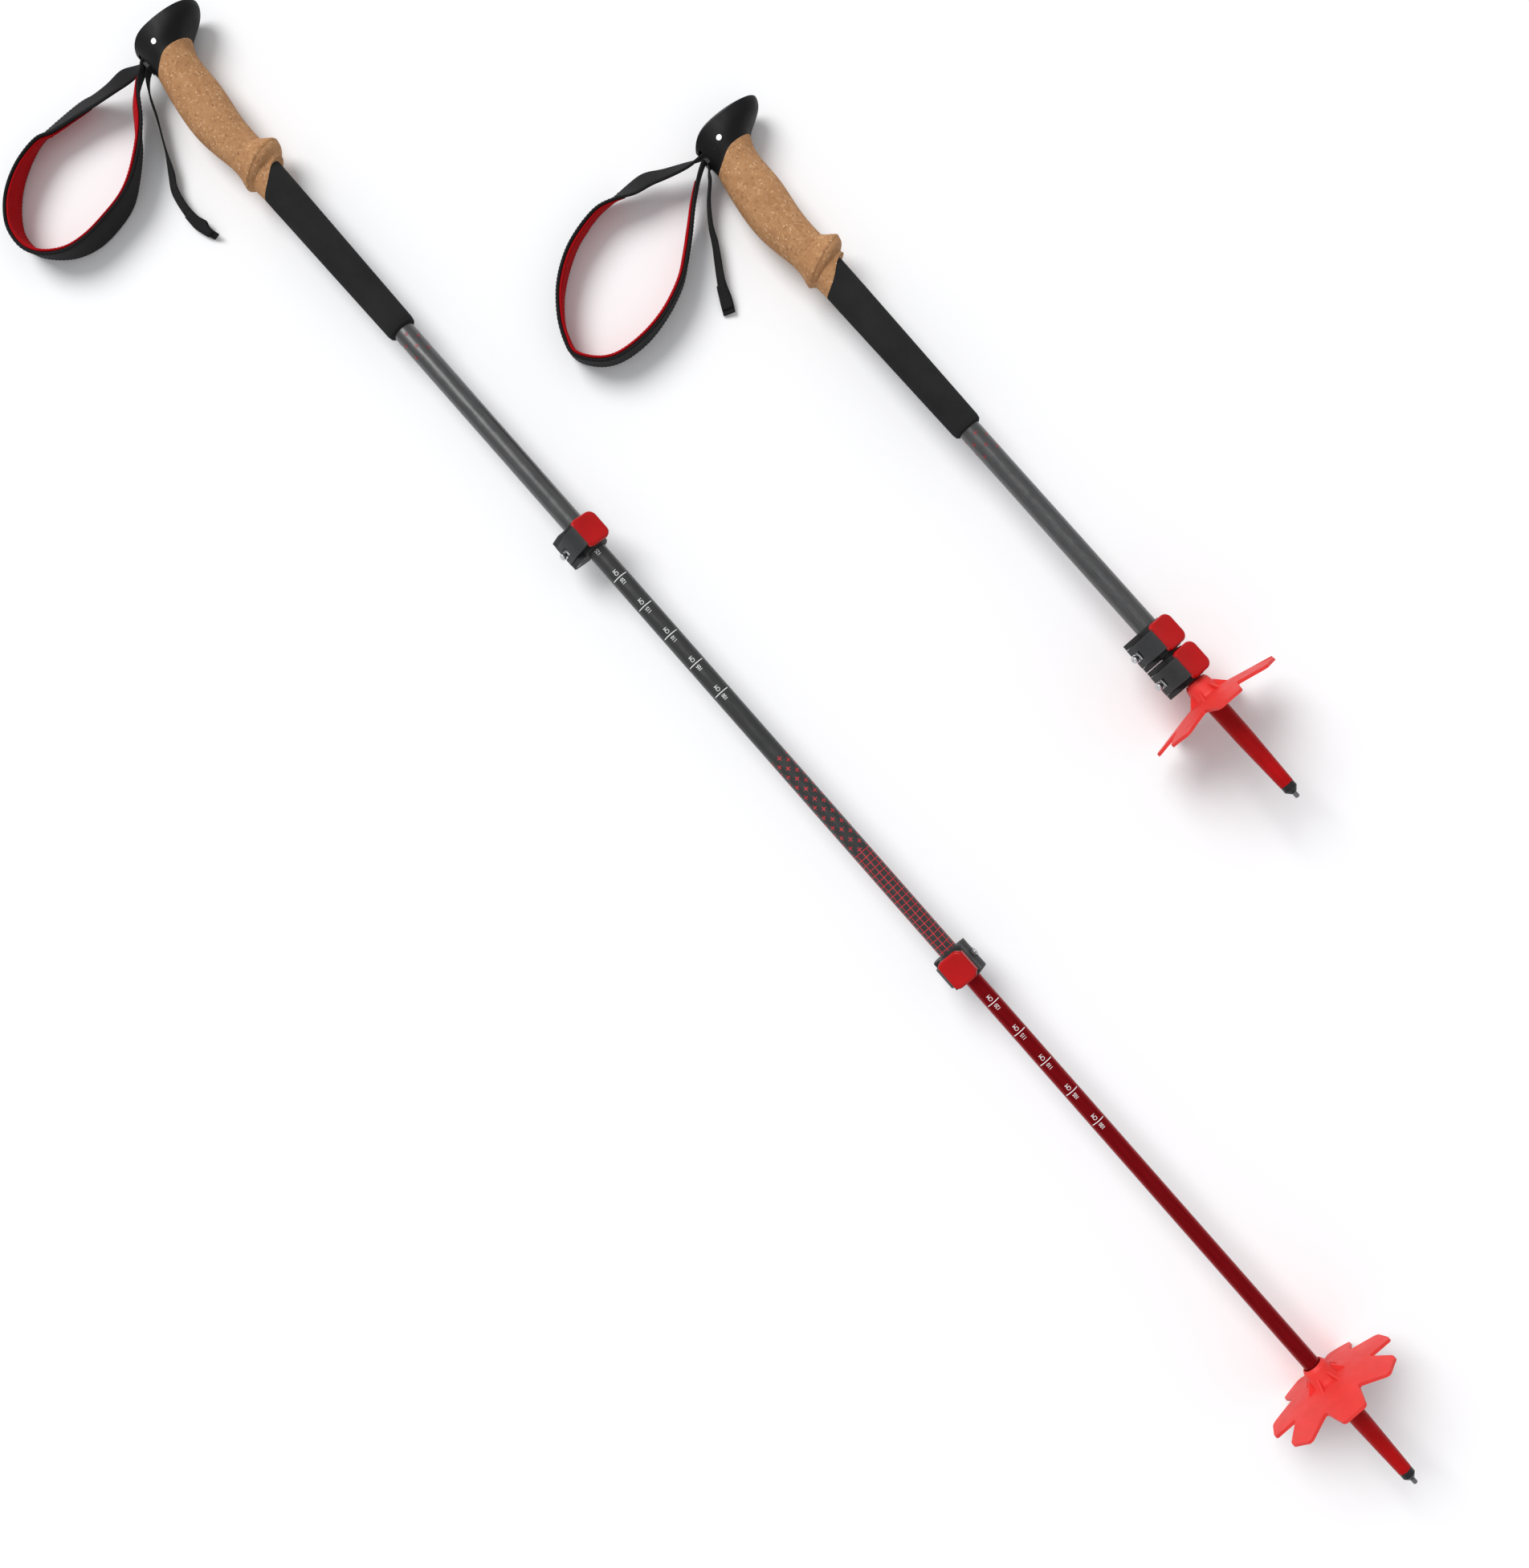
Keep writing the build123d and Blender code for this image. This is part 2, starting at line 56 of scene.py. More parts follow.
def lay(side):
    """The pole's own frame: X from the crown to the tip, Z up across the pole."""
    tilt = math.atan2(BASKET_REST - HEAD_HALF, TIP[side] - RIM_BACK - HEAD_REST)
    lift = (HEAD_HALF * math.cos(tilt) - HEAD_REST * math.sin(tilt)) * MM
    return base(side) @ Matrix.Translation((0, 0, lift)) @ Matrix.Rotation(-tilt, 4, "Y")


# ------------------------------------------------------------------ camera, floor and light
CAMERA_AT = Vector((672.8, 4.0, 1187.9)) * MM          # from the left pole's crown
CAMERA_TURN = math.radians(48.707)                     # about the vertical
CAMERA_LEAN = Vector((-0.0044, 0.0294, -0.0002))       # away from straight down, as an axis times its angle
LENS, SENSOR = 40.968, 36.0
NEAREST, FARTHEST = 0.02, 200.0                        # metres
FLOOR_REACH = 60.0                                     # metres, so that no low view shows the floor's edge
FLOOR_WHITE, FLOOR_ROUGH = (0.93, 0.93, 0.935), 0.75
SKY, SKY_STRENGTH = (0.97, 0.98, 1.0, 1), 0.56
SUN_FROM, SUN_STRENGTH, SUN_SPREAD = (-0.72, -0.05, 0.86), 2.3, 34.0


def add_camera():
    """A camera almost straight above the pair, turned so that the poles run down to the right."""
    across, back = math.cos(CAMERA_TURN), math.sin(CAMERA_TURN)
    seen = Matrix(((across, back, 0), (back, -across, 0), (0, 0, -1)))
    rows = Matrix.Rotation(CAMERA_LEAN.length, 3, CAMERA_LEAN.normalized()) @ seen
    right, down, forward = (Vector(row) for row in rows)
    data = bpy.data.cameras.new("camera")
    data.lens, data.sensor_width = LENS, SENSOR
    data.clip_start, data.clip_end = NEAREST, FARTHEST
    camera = bpy.data.objects.new("camera", data)
    bpy.context.collection.objects.link(camera)
    place = Matrix((right, -down, -forward)).transposed().to_4x4()
    place.translation = CAMERA_AT + SHIFT
    camera.matrix_world = place
    bpy.context.scene.camera = camera


def add_sun(toward, strength, spread):
    """A broad soft sun; toward is the direction it shines from."""
    data = bpy.data.lights.new("key", "SUN")
    data.energy, data.angle = strength, math.radians(spread)
    light = bpy.data.objects.new("key", data)
    bpy.context.collection.objects.link(light)
    light.rotation_euler = Vector(toward).to_track_quat("Z", "Y").to_euler()


def add_stage():
    """A wide white floor under an even sky and one soft sun."""
    corners = [(x * FLOOR_REACH, y * FLOOR_REACH, 0) for x, y in ((-1, -1), (1, -1), (1, 1), (-1, 1))]
    mesh = bpy.data.meshes.new("floor")
    mesh.from_pydata(corners, [], [(0, 1, 2, 3)])
    floor = bpy.data.objects.new("floor", mesh)
    bpy.context.collection.objects.link(floor)
    floor.data.materials.append(new_material("floor_white", FLOOR_WHITE, FLOOR_ROUGH)[0])
    world = bpy.data.worlds.new("studio")
    world.use_nodes = True
    sky = world.node_tree.nodes["Background"]
    sky.inputs["Color"].default_value = SKY
    sky.inputs["Strength"].default_value = SKY_STRENGTH
    bpy.context.scene.world = world
    add_sun(SUN_FROM, SUN_STRENGTH, SUN_SPREAD)
    bpy.context.scene.view_settings.view_transform = "Standard"
    bpy.context.scene.view_settings.look = "None"


# ------------------------------------------------------------------ materials
def new_material(name, colour, rough, metal=0.0, specular=0.5, coat=0.0):
    material = bpy.data.materials.new(name)
    material.use_nodes = True
    nodes, links = material.node_tree.nodes, material.node_tree.links
    shader = nodes["Principled BSDF"]
    shader.inputs["Base Color"].default_value = (*colour, 1)
    shader.inputs["Roughness"].default_value = rough
    shader.inputs["Metallic"].default_value = metal
    shader.inputs["Specular IOR Level"].default_value = specular
    shader.inputs["Coat Weight"].default_value = coat
    shader.inputs["Coat Roughness"].default_value = 0.08
    return material, nodes, links, shader


def coordinates(nodes, links, scale, kind="Object", turn=(0, 0, 0)):
    source = nodes.new("ShaderNodeTexCoord")
    mapping = nodes.new("ShaderNodeMapping")
    mapping.inputs["Scale"].default_value = scale
    mapping.inputs["Rotation"].default_value = turn
    links.new(source.outputs[kind], mapping.inputs["Vector"])
    return mapping.outputs["Vector"]


def noise(nodes, links, vector, scale, detail=3.0, rough=0.55):
    node = nodes.new("ShaderNodeTexNoise")
    node.inputs["Scale"].default_value = scale
    node.inputs["Detail"].default_value = detail
    node.inputs["Roughness"].default_value = rough
    links.new(vector, node.inputs["Vector"])
    return node.outputs["Fac"]


def ramp(nodes, links, value, stops):
    node = nodes.new("ShaderNodeValToRGB")
    line = node.color_ramp
    while len(line.elements) < len(stops):
        line.elements.new(0.5)
    for element, (place, colour) in zip(line.elements, stops):
        element.position = place
        element.color = (*colour, 1) if hasattr(colour, "__len__") else (colour, colour, colour, 1)
    links.new(value, node.inputs["Fac"])
    return node.outputs["Color"]


def mix(nodes, links, factor, first, second, kind="MIX"):
    node = nodes.new("ShaderNodeMix")
    node.data_type, node.blend_type = "RGBA", kind
    for socket, value in ((node.inputs[0], factor), (node.inputs[6], first), (node.inputs[7], second)):
        if isinstance(value, bpy.types.NodeSocket):
            links.new(value, socket)
        elif hasattr(value, "__len__"):
            socket.default_value = (*value, 1)
        else:
            socket.default_value = value
    return node.outputs[2]


def maths(nodes, links, kind, first, second=0.0):
    node = nodes.new("ShaderNodeMath")
    node.operation = kind
    for socket, value in ((node.inputs[0], first), (node.inputs[1], second)):
        if isinstance(value, bpy.types.NodeSocket):
            links.new(value, socket)
        else:
            socket.default_value = value
    return node.outputs[0]


def bump(nodes, links, shader, height, distance, strength=1.0):
    node = nodes.new("ShaderNodeBump")
    node.inputs["Distance"].default_value = distance
    node.inputs["Strength"].default_value = strength
    links.new(height, node.inputs["Height"])
    links.new(node.outputs["Normal"], shader.inputs["Normal"])


def moulded(name, colour, rough, grain=900.0, depth=0.00004, specular=0.5, coat=0.0, spread=0.06, wear_and_edge_highlight=0.0):
    """Moulded plastic or rubber: fine grain, slightly uneven gloss and colour, and, on the pieces that ask for
    it, sharp edges painted paler as a painted highlight.
    """
    material, nodes, links, shader = new_material(name, colour, rough, specular=specular, coat=coat)
    place = coordinates(nodes, links, (1, 1, 1))
    broad = noise(nodes, links, place, 60, 3)
    fine = noise(nodes, links, place, grain, 2)
    light = tuple(min(c * (1 + 2.2 * spread) + 0.25 * spread * 0.05, 1) for c in colour)
    dark = tuple(c * (1 - 2.0 * spread) for c in colour)
    tint = ramp(nodes, links, broad, ((0.3, dark), (0.7, light)))
    # Painted highlight: sharp edges, found by their pointiness, are painted paler, as a rim of light would show
    # them.
    if wear_and_edge_highlight:
        edge = nodes.new("ShaderNodeNewGeometry").outputs["Pointiness"]
        edge_highlight_mask = ramp(nodes, links, edge, ((0.52, 0.0), (0.62, wear_and_edge_highlight)))
        pale = tuple(min(c * 1.6 + 0.03, 1) for c in colour)
        tint = mix(nodes, links, edge_highlight_mask, tint, pale)
    links.new(tint, shader.inputs["Base Color"])
    patches = noise(nodes, links, place, 140, 3)
    gloss = ramp(nodes, links, patches, ((0.3, max(rough - 0.06, 0.02)), (0.7, rough + 0.07)))
    links.new(gloss, shader.inputs["Roughness"])
    bump(nodes, links, shader, fine, depth)
    return material


def cork():
    """Pressed cork: brown granules with seams between them, dark slits and a few pale specks."""
    material, nodes, links, shader = new_material("cork_grain", (0.45, 0.24, 0.11), 0.82, specular=0.22)
    place = coordinates(nodes, links, (1, 1, 1))
    cloud = noise(nodes, links, place, 75, 4, 0.6)
    browns = ((0.28, (0.36, 0.178, 0.078)), (0.52, (0.44, 0.226, 0.100)), (0.75, (0.51, 0.276, 0.131)))
    tint = ramp(nodes, links, cloud, browns)
    granule = nodes.new("ShaderNodeTexVoronoi")
    granule.inputs["Scale"].default_value = 620
    links.new(place, granule.inputs["Vector"])
    cell = nodes.new("ShaderNodeSeparateColor")
    links.new(granule.outputs["Color"], cell.inputs[0])
    pale = ramp(nodes, links, cell.outputs[0], ((0.80, 0.0), (0.93, 0.45)))
    tint = mix(nodes, links, pale, tint, (0.62, 0.37, 0.195))
    deep = ramp(nodes, links, cell.outputs[1], ((0.84, 0.0), (0.95, 0.5)))
    tint = mix(nodes, links, deep, tint, (0.30, 0.140, 0.060))
    seams = nodes.new("ShaderNodeTexVoronoi")
    seams.feature = "DISTANCE_TO_EDGE"
    seams.inputs["Scale"].default_value = 620
    links.new(place, seams.inputs["Vector"])
    seam = ramp(nodes, links, seams.outputs["Distance"], ((0.0, 0.26), (0.09, 0.0)))
    tint = mix(nodes, links, seam, tint, (0.33, 0.17, 0.08))
    slit_place = coordinates(nodes, links, (1.0, 3.4, 2.6), turn=(0.3, 0.5, 0.7))
    slit = noise(nodes, links, slit_place, 290, 2, 0.5)
    slits = ramp(nodes, links, slit, ((0.67, 0.0), (0.71, 0.75)))
    tint = mix(nodes, links, slits, tint, (0.16, 0.07, 0.03))
    specks = nodes.new("ShaderNodeTexVoronoi")
    specks.inputs["Scale"].default_value = 760
    links.new(place, specks.inputs["Vector"])
    chance = nodes.new("ShaderNodeSeparateColor")
    links.new(specks.outputs["Color"], chance.inputs[0])
    few = ramp(nodes, links, chance.outputs[2], ((0.93, 0.0), (0.96, 1.0)))
    dot = ramp(nodes, links, specks.outputs["Distance"], ((0.25, 0.9), (0.42, 0.0)))
    bright = maths(nodes, links, "MULTIPLY", few, dot)
    tint = mix(nodes, links, bright, tint, (0.80, 0.58, 0.36))
    links.new(tint, shader.inputs["Base Color"])
    cut = maths(nodes, links, "MULTIPLY", slits, 0.8)
    height = maths(nodes, links, "SUBTRACT", noise(nodes, links, place, 700, 3), cut)
    height = maths(nodes, links, "SUBTRACT", height, seam)
    bump(nodes, links, shader, height, 0.00022)
    return material


def foam():
    """Matt closed-cell foam."""
    material, nodes, links, shader = new_material("foam_black", (0.018, 0.018, 0.0185), 0.94, specular=0.12)
    place = coordinates(nodes, links, (1, 1, 1))
    cells = nodes.new("ShaderNodeTexVoronoi")
    cells.inputs["Scale"].default_value = 1500
    links.new(place, cells.inputs["Vector"])
    cloud = noise(nodes, links, place, 45, 4)
    tint = ramp(nodes, links, cloud, ((0.3, (0.0150, 0.0150, 0.0155)), (0.7, (0.0215, 0.0215, 0.022))))
    links.new(tint, shader.inputs["Base Color"])
    height = maths(nodes, links, "ADD", cells.outputs["Distance"], noise(nodes, links, place, 500, 3))
    bump(nodes, links, shader, height, 0.00012, 0.8)
    return material


STREAK = 0.15                                          # share by which a tube's streaks differ from its colour


def tube(name, colour, rough, metal, coat):
    """Drawn tube: faint streaks along its length, and gloss that changes in soft patches."""
    material, nodes, links, shader = new_material(name, colour, rough, metal=metal, specular=0.12, coat=coat)
    along = coordinates(nodes, links, (0.04, 1, 1))
    lines = noise(nodes, links, along, 1400, 3)
    light = tuple(min(c * (1 + STREAK) + 0.002, 1) for c in colour)
    dark = tuple(c * (1 - STREAK) for c in colour)
    links.new(ramp(nodes, links, lines, ((0.3, dark), (0.7, light))), shader.inputs["Base Color"])
    place = coordinates(nodes, links, (1, 1, 1))
    scuff = noise(nodes, links, place, 120, 5, 0.65)
    gloss = ramp(nodes, links, scuff, ((0.35, max(rough - 0.05, 0.03)), (0.75, rough + 0.1)))
    links.new(gloss, shader.inputs["Roughness"])
    bump(nodes, links, shader, lines, 0.000012)
    return material


def metal(name, colour, rough):
    """Bare metal with fine scratches along it and slightly dulled patches."""
    material, nodes, links, shader = new_material(name, colour, rough, metal=1.0)
    place = coordinates(nodes, links, (1, 1, 1))
    scratch = noise(nodes, links, coordinates(nodes, links, (0.2, 1, 1)), 2600, 4, 0.7)
    gloss = ramp(nodes, links, scratch, ((0.3, rough * 0.75), (0.75, min(rough * 1.5, 1))))
    links.new(gloss, shader.inputs["Roughness"])
    wear_and_edge_highlight = noise(nodes, links, place, 420, 4)
    dark = tuple(c * 0.78 for c in colour)
    links.new(ramp(nodes, links, wear_and_edge_highlight, ((0.35, dark), (0.65, colour))), shader.inputs["Base Color"])
    bump(nodes, links, shader, scratch, 0.00001)
    return material


def woven(name, colour, bright, pitch_along, pitch_across, depth, sheen):
    """Flat-woven webbing: threads run along and across, laid out in the strap's own length and width. Its colour
    follows the relief of the weave: painted shade in the hollows between threads, a painted highlight on their
    crests, and a random fuzz in the tone.
    """
    material, nodes, links, shader = new_material(name, colour, 0.85, specular=0.08)
    shader.inputs["Sheen Weight"].default_value = sheen
    shader.inputs["Sheen Roughness"].default_value = 0.4
    source = nodes.new("ShaderNodeTexCoord")
    split = nodes.new("ShaderNodeSeparateXYZ")
    links.new(source.outputs["UV"], split.inputs[0])
    length, width = split.outputs[0], split.outputs[1]
    warp = maths(nodes, links, "MULTIPLY", width, 2 * math.pi / pitch_across)
    weft = maths(nodes, links, "MULTIPLY", length, 2 * math.pi / pitch_along)
    over = maths(nodes, links, "SINE", warp)
    slanted = maths(nodes, links, "ADD", weft, maths(nodes, links, "MULTIPLY", warp, 0.5))
    under = maths(nodes, links, "SINE", slanted)
    thread = maths(nodes, links, "MULTIPLY", over, under)
    thread = maths(nodes, links, "MULTIPLY_ADD", thread, 0.5)
    thread.node.inputs[2].default_value = 0.5
    fuzz = noise(nodes, links, coordinates(nodes, links, (1, 1, 1)), 1800, 3)
    height = maths(nodes, links, "ADD", thread, maths(nodes, links, "MULTIPLY", fuzz, 0.5))
    # Painted shade and highlight: the tint runs from the base colour in the hollows to the bright colour on the
    # thread crests.
    tint = ramp(nodes, links, height, ((0.3, colour), (1.0, bright)))
    links.new(tint, shader.inputs["Base Color"])
    bump(nodes, links, shader, height, depth)
    return material


GRAIN = 0.00003                                        # metres of relief on most moulded pieces


def build_materials():
    kinds = {
        # The head, the clamps and the cam arms pass an edge-paling strength to moulded: a painted highlight on
        # their edges, not wear.
        "head_cap": moulded("head_rubber", (0.0050, 0.0050, 0.0053), 0.48, 1500, GRAIN, specular=0.16, wear_and_edge_highlight=0.3),
        "strap_pin": metal("pin_bright", (0.95, 0.95, 0.95), 0.32),
        "strap_wedge": moulded("wedge_black", (0.009, 0.009, 0.010), 0.5, specular=0.25),
        "grip_core": moulded("core_black", (0.012, 0.012, 0.012), 0.6),
        "cork_grip": cork(),
        "foam_extension": foam(),
        "upper_shaft": tube("upper_tube", (0.115, 0.115, 0.116), 0.30, 0.85, 0.06),
        "middle_shaft": tube("middle_tube", (0.066, 0.066, 0.066), 0.32, 0.75, 0.05),
        "lower_shaft": tube("lower_tube", (0.230, 0.0035, 0.0065), 0.32, 0.80, 0.0),
        "middle_bushing": moulded("bushing_pale", (0.6, 0.6, 0.57), 0.5),
        "lower_bushing": moulded("bushing_pale_small", (0.6, 0.6, 0.57), 0.5),
        "tip_sleeve": moulded("sleeve_red", (0.36, 0.0025, 0.0035), 0.42, 1200, 0.00002, specular=0.10),
        "basket": moulded("basket_coral", (0.70, 0.036, 0.030), 0.50, 1100, GRAIN, specular=0.25, spread=0.03),
        "tip_ferrule": moulded("ferrule_black", (0.011, 0.011, 0.012), 0.40, specular=0.3),
        "carbide_tip": metal("carbide_grey", (0.23, 0.23, 0.24), 0.38),
    }
    lock = {
        "clamp": moulded("clamp_black", (0.0125, 0.0125, 0.013), 0.5, 1300, GRAIN, specular=0.25, wear_and_edge_highlight=0.3),
        "lever": moulded("cap_red", (0.42, 0.0060, 0.0068), 0.30, 1300, 0.000012, specular=0.14, coat=0.08,
                         spread=0.03),
        "cam": moulded("arm_grey", (0.029, 0.030, 0.031), 0.48, 1300, GRAIN, specular=0.25, wear_and_edge_highlight=0.3),
        "hinge_pin": metal("pin_steel", (0.55, 0.55, 0.56), 0.34),
        "screw": metal("screw_steel", (0.60, 0.60, 0.61), 0.30),
        "nut": metal("nut_steel", (0.50, 0.50, 0.51), 0.36),
    }
    for side in SIDES:
        for name, material in kinds.items():
            assign(f"{side}_{name}", material)
        for place in ("upper", "lower"):
            for name, material in lock.items():
                assign(f"{side}_{place}_lock_{name}", material)


def assign(node, material):
    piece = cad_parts[node]
    piece.data.materials.clear()
    piece.data.materials.append(material)


# ------------------------------------------------------------------ building pieces
def piece_from(name, vertices, faces, material, body, uvs=None, smooth=True):
    mesh = bpy.data.meshes.new(name)
    mesh.from_pydata([tuple(v) for v in vertices], [], faces)
    mesh.update()
    if uvs is not None:
        layer = mesh.uv_layers.new(name="strap")
        for loop in mesh.loops:
            layer.data[loop.index].uv = uvs[loop.vertex_index]
    for polygon in mesh.polygons:
        polygon.use_smooth = smooth
    mesh.materials.append(material)
    piece = bpy.data.objects.new(name, mesh)
    bpy.context.collection.objects.link(piece)
    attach(piece, body)
    return piece


def smooth_line(points, count):
    """Catmull-Rom through rows of numbers, evenly spaced along the first three of them."""
    rows = [[float(x) for x in point] for point in points]
    before = [2 * a - b for a, b in zip(rows[0], rows[1])]
    after = [2 * a - b for a, b in zip(rows[-1], rows[-2])]
    rows = [before] + rows + [after]
    dense = []
    for i in range(1, len(rows) - 2):
        p0, p1, p2, p3 = rows[i - 1], rows[i], rows[i + 1], rows[i + 2]
        for step in range(24):
            t = step / 24
            dense.append([0.5 * (2 * b + (c - a) * t + (2 * a - 5 * b + 4 * c - d) * t * t
                                 + (3 * b - a - 3 * c + d) * t ** 3) for a, b, c, d in zip(p0, p1, p2, p3)])
    dense.append(rows[-2])
    lengths = [0.0]
    for a, b in zip(dense, dense[1:]):
        lengths.append(lengths[-1] + math.dist(a[:3], b[:3]))
    out, at = [], 0
    for i in range(count):
        want = lengths[-1] * i / (count - 1)
        while at < len(dense) - 2 and lengths[at + 1] < want:
            at += 1
        t = (want - lengths[at]) / max(lengths[at + 1] - lengths[at], 1e-9)
        out.append([a + (b - a) * t for a, b in zip(dense[at], dense[at + 1])])
    return out, lengths[-1]


STRAP_SECTION = ((0.0, 0.5), (0.03, 0.12), (0.10, 0.0), (0.25, 0.0), (0.5, 0.0), (0.75, 0.0), (0.90, 0.0),
                 (0.97, 0.12), (1.0, 0.5), (0.97, 0.88), (0.90, 1.0), (0.75, 1.0), (0.5, 1.0), (0.25, 1.0),
                 (0.10, 1.0), (0.03, 0.88))            # shares of a strap's width and thickness
FACES_APART = 40.0                                     # keeps the weave of a strap's two faces from joining


def strap(name, side, edges, count, near, far, crown, material, body, trim=(0.0, 1.0), inset=0.0, ease=0.0):
    """A flat strap between a lower and an upper edge. near and far are how deep its two faces lie under the
    line of the edges, crown how much its middle swells, inset how far its edges stay inside them, and ease
    the share of the line over which the far face comes up to its full depth at each end."""
    line, length = smooth_line(edges, count)
    first, last = int(trim[0] * (count - 1)), int(trim[1] * (count - 1))
    place = base(side)
    lows = [Vector(row[:3]) for row in line]
    highs = [Vector(row[3:6]) for row in line]
    middles = [(a + b) / 2 for a, b in zip(lows, highs)]
    vertices, uvs, faces = [], [], []
    for i in range(first, last + 1):
        before, after = middles[max(i - 1, 0)], middles[min(i + 1, count - 1)]
        across = highs[i] - lows[i]
        width = across.length
        across.normalize()
        inward = across.cross(after - before).normalized()
        share = i / (count - 1)
        risen = min(1.0, (share - trim[0]) / ease, (trim[1] - share) / ease) if ease else 1.0
        full = 0.25 + 0.75 * max(risen, 0.0) ** 0.7
        for u, v in STRAP_SECTION:
            margin = inset / width
            reach = margin + u * (1 - 2 * margin)
            swell = crown * full * (1 - (2 * u - 1) ** 4) * (1 if v > 0.5 else 0)
            depth = near + (far - near) * v * full + swell
            point = lows[i] + across * width * reach + inward * depth
            vertices.append(place @ (point * MM))
            uvs.append((length * i / (count - 1), width * reach + (0 if v < 0.5 else FACES_APART)))
    ring = len(STRAP_SECTION)
    rows = last - first + 1
    for i in range(rows - 1):
        for j in range(ring):
            k = (j + 1) % ring
            faces.append((i * ring + j, i * ring + k, (i + 1) * ring + k, (i + 1) * ring + j))
    faces.append(tuple(reversed(range(ring))))
    faces.append(tuple((rows - 1) * ring + j for j in range(ring)))
    piece = piece_from(name, vertices, faces, material, body, uvs)
    fix_normals(piece)
    return piece


def fix_normals(piece):
    """Turn a closed mesh's faces outwards."""
    shell = bmesh.new()
    shell.from_mesh(piece.data)
    bmesh.ops.recalc_face_normals(shell, faces=shell.faces)
    shell.to_mesh(piece.data)
    shell.free()


STITCH_PITCH, STITCH_LENGTH = 2.6, 1.924
THREAD_ACROSS, THREAD_DEEP = 0.26, 0.2                 # half the thread's width and thickness
# one bead of thread: share of its length, share of its full size
BEAD = ((-0.5, 0.35), (-0.32, 1.0), (0.32, 1.0), (0.5, 0.35))
THREAD_SIDES = 6


def stitches(name, side, edges, count, lines, depth, material, body, trim):
    """Rows of thread beads sewn along a strap, at the given distances from its lower edge, or from its upper
    edge where they are negative."""
    line, length = smooth_line(edges, count)
    place = base(side)
    lows = [Vector(row[:3]) for row in line]
    highs = [Vector(row[3:6]) for row in line]
    middles = [(a + b) / 2 for a, b in zip(lows, highs)]
    vertices, faces = [], []
    beads = int(length / STITCH_PITCH)
    for number in range(int(beads * trim[0]), int(beads * trim[1])):
        at = (number + 0.5) / beads * (count - 1)
        i = min(int(at), count - 2)
        t = at - i
        before, after = middles[max(i - 1, 0)], middles[min(i + 2, count - 1)]
        run = (after - before).normalized()
        low, high = lows[i].lerp(lows[i + 1], t), highs[i].lerp(highs[i + 1], t)
        across = high - low
        width = across.length
        across.normalize()
        inward = across.cross(run).normalized()
        for distance in lines:
            offset = distance if distance >= 0 else width + distance
            centre = low + across * offset + inward * depth
            start = len(vertices)
            for along, size in BEAD:
                for corner in range(THREAD_SIDES):
                    angle = 2 * math.pi * corner / THREAD_SIDES
                    point = (centre + run * along * STITCH_LENGTH
                             + across * math.cos(angle) * THREAD_ACROSS * size
                             + inward * math.sin(angle) * THREAD_DEEP * size)
                    vertices.append(place @ (point * MM))
            for ring in range(len(BEAD) - 1):
                for corner in range(THREAD_SIDES):
                    a = start + ring * THREAD_SIDES + corner
                    b = start + ring * THREAD_SIDES + (corner + 1) % THREAD_SIDES
                    faces.append((a, b, b + THREAD_SIDES, a + THREAD_SIDES))
            last = start + (len(BEAD) - 1) * THREAD_SIDES
            faces.append(tuple(start + corner for corner in range(THREAD_SIDES))[::-1])
            faces.append(tuple(last + corner for corner in range(THREAD_SIDES)))
    piece = piece_from(name, vertices, faces, material, body)
    fix_normals(piece)
    return piece


# ------------------------------------------------------------------ crisp lip of the cork's flared ring
RING_AT, RING_TURN = Vector((118.2, 1.8, 0.0)), math.radians(19.4)
# distance along the ring's axis, half width, half thickness
LIP = ((-14.0, 12.2, 11.4), (-10.0, 13.3, 12.3), (-6.0, 15.0, 13.6), (-2.5, 17.0, 15.1), (0.8, 19.1, 16.7),
       (1.8, 19.3, 16.9), (2.6, 18.9, 16.5), (4.4, 16.4, 14.6), (4.4, 12.8, 12.4), (-14.0, 11.0, 10.6))
LIP_STEPS = 96


def build_lips():
    """A ring of cork on each grip, whose sections are ellipses."""
    run = Vector((math.cos(RING_TURN), math.sin(RING_TURN), 0.0))
    wide = Vector((-math.sin(RING_TURN), math.cos(RING_TURN), 0.0))
    for side in SIDES:
        place = lay(side)
        vertices = []
        for step in range(LIP_STEPS):
            angle = 2 * math.pi * step / LIP_STEPS
            for along, half_width, half_thick in LIP:
                point = RING_AT + run * along + wide * math.cos(angle) * half_width
                point.z += math.sin(angle) * half_thick
                vertices.append(place @ (point * MM))
        faces = []
        for step in range(LIP_STEPS):
            a, b = step * len(LIP), (step + 1) % LIP_STEPS * len(LIP)
            for i in range(len(LIP)):
                j = (i + 1) % len(LIP)
                faces.append((a + i, a + j, b + j, b + i))
        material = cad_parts[f"{side}_cork_grip"].data.materials[0]
        lip = piece_from(f"{side}_cork_lip", vertices, faces, material, f"{side}_upper")
        fix_normals(lip)


